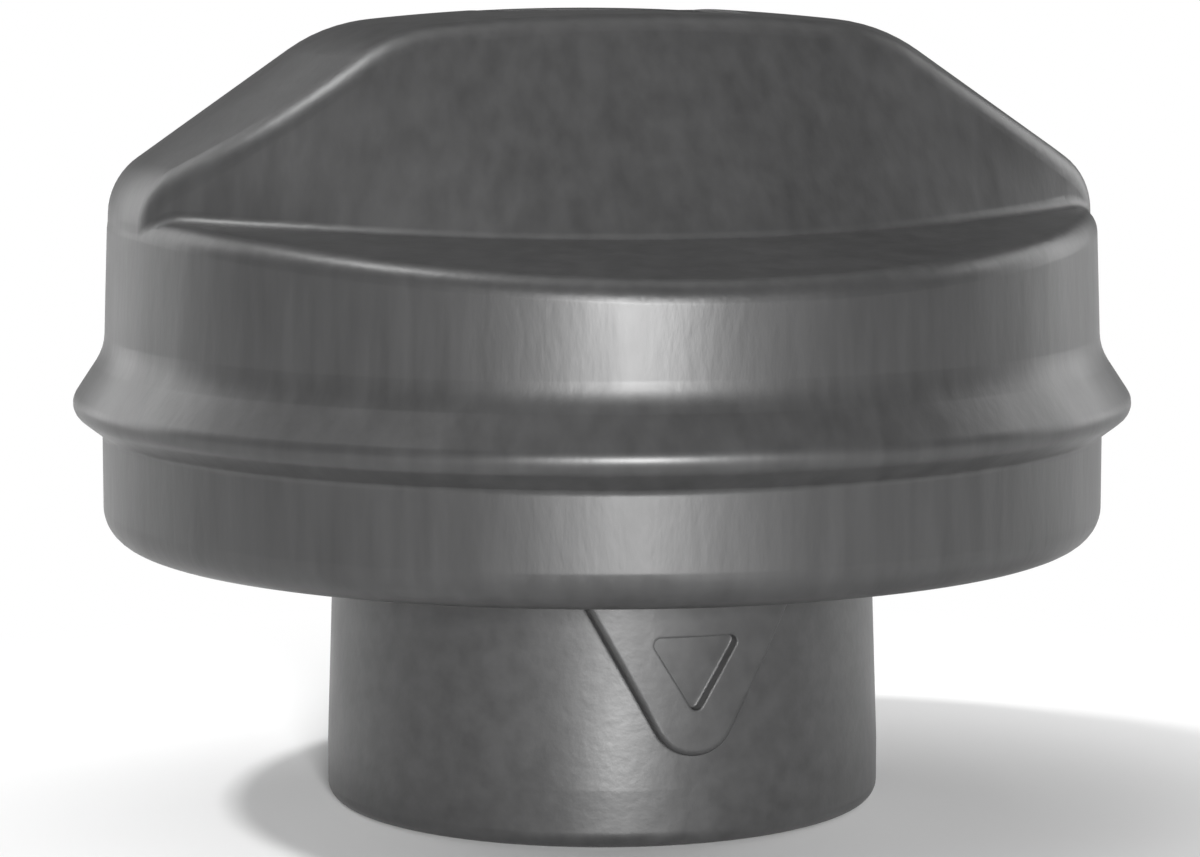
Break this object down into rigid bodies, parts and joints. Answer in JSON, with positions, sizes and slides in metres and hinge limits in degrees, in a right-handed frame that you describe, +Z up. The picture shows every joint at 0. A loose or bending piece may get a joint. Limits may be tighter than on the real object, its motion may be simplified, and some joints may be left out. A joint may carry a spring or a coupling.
{
  "type": "locking fuel cap",
  "caption": "Round fuel filler cap with a full-width grip ridge, a key lock under a hinged dust cover, a beaded skirt and a push-in neck with V lugs.",
  "frame": {"origin": "middle of the neck's lower rim, the plane the cap stands on", "axes": "+Z up along the neck axis towards the grip, X along the grip ridge, -Y the side with the lug that the picture shows"},
  "size_m": [0.077, 0.077, 0.0576],
  "materials": {
    "handle_plastic": "satin moulded plastic, charcoal",
    "neck_plastic": "satin moulded plastic, charcoal",
    "shutter_plastic": "fine grained moulded plastic, black",
    "inner_plastic": "plain natural acetal",
    "seal_rubber": "matt black rubber",
    "zinc_casting": "plain die-cast metal",
    "wafer_brass": "stamped brass",
    "spring_steel": "bright drawn wire and strip",
    "plated_steel": "zinc-plated steel"
  },
  "bodies": {
    "closure": {"neck_housing": "neck_plastic", "neck_gasket": "seal_rubber", "slip_washer": "inner_plastic", "valve_seat": "inner_plastic", "pressure_spring": "spring_steel"},
    "handle": {"handle_shell": "handle_plastic", "lock_sleeve": "zinc_casting", "bolt_carrier": "inner_plastic", "carrier_screws": "plated_steel", "retaining_ring": "spring_steel", "shutter_pin": "plated_steel", "shutter_spring": "spring_steel"},
    "plug": {"lock_plug": "zinc_casting", "plug_clip": "spring_steel", "lock_cam": "plated_steel", "wafer_springs": "spring_steel"},
    "wafer_set": {"wafers": "wafer_brass"},
    "bolt": {"lock_bolt": "plated_steel"},
    "shutter": {"dust_shutter": "shutter_plastic"},
    "pressure_plate": {"pressure_valve": "plated_steel", "valve_seal": "seal_rubber", "vacuum_spring": "spring_steel"},
    "vacuum_plunger": {"vacuum_valve": "plated_steel", "vacuum_keeper": "plated_steel"}
  },
  "joints": [
    {"name": "handle_spin", "type": "hinge", "parent": "closure", "child": "handle", "pos_m": [0, 0, 0.03], "axis": [0, 0, 1], "continuous": true},
    {"name": "key_turn", "type": "hinge", "parent": "handle", "child": "plug", "pos_m": [0, 0, 0.045], "axis": [0, 0, 1], "range_deg": [0, 90]},
    {"name": "wafer_slide", "type": "slide", "parent": "plug", "child": "wafer_set", "axis": [1, 0, 0], "range_m": [0, 0.0007]},
    {"name": "bolt_slide", "type": "slide", "parent": "handle", "child": "bolt", "axis": [1, 0, 0], "range_m": [0, 0.0036]},
    {"name": "shutter_flip", "type": "hinge", "parent": "handle", "child": "shutter", "pos_m": [0, 0.0066, 0.05595], "axis": [-1, 0, 0], "range_deg": [0, 95], "stiffness_Nm_per_rad": 0.002, "springref_deg": -22.92},
    {"name": "pressure_lift", "type": "slide", "parent": "closure", "child": "pressure_plate", "axis": [0, 0, 1], "range_m": [0, 0.002], "stiffness_N_per_m": 400, "springref_m": -0.004, "deforming": ["pressure_spring"]},
    {"name": "vacuum_drop", "type": "slide", "parent": "pressure_plate", "child": "vacuum_plunger", "axis": [0, 0, -1], "range_m": [0, 0.0015], "stiffness_N_per_m": 60, "springref_m": -0.003, "deforming": ["vacuum_spring"]}
  ],
  "couplings": [
    {"joint": "key_turn", "follows": "bolt_slide", "rad_per_m": 436.33}
  ]
}
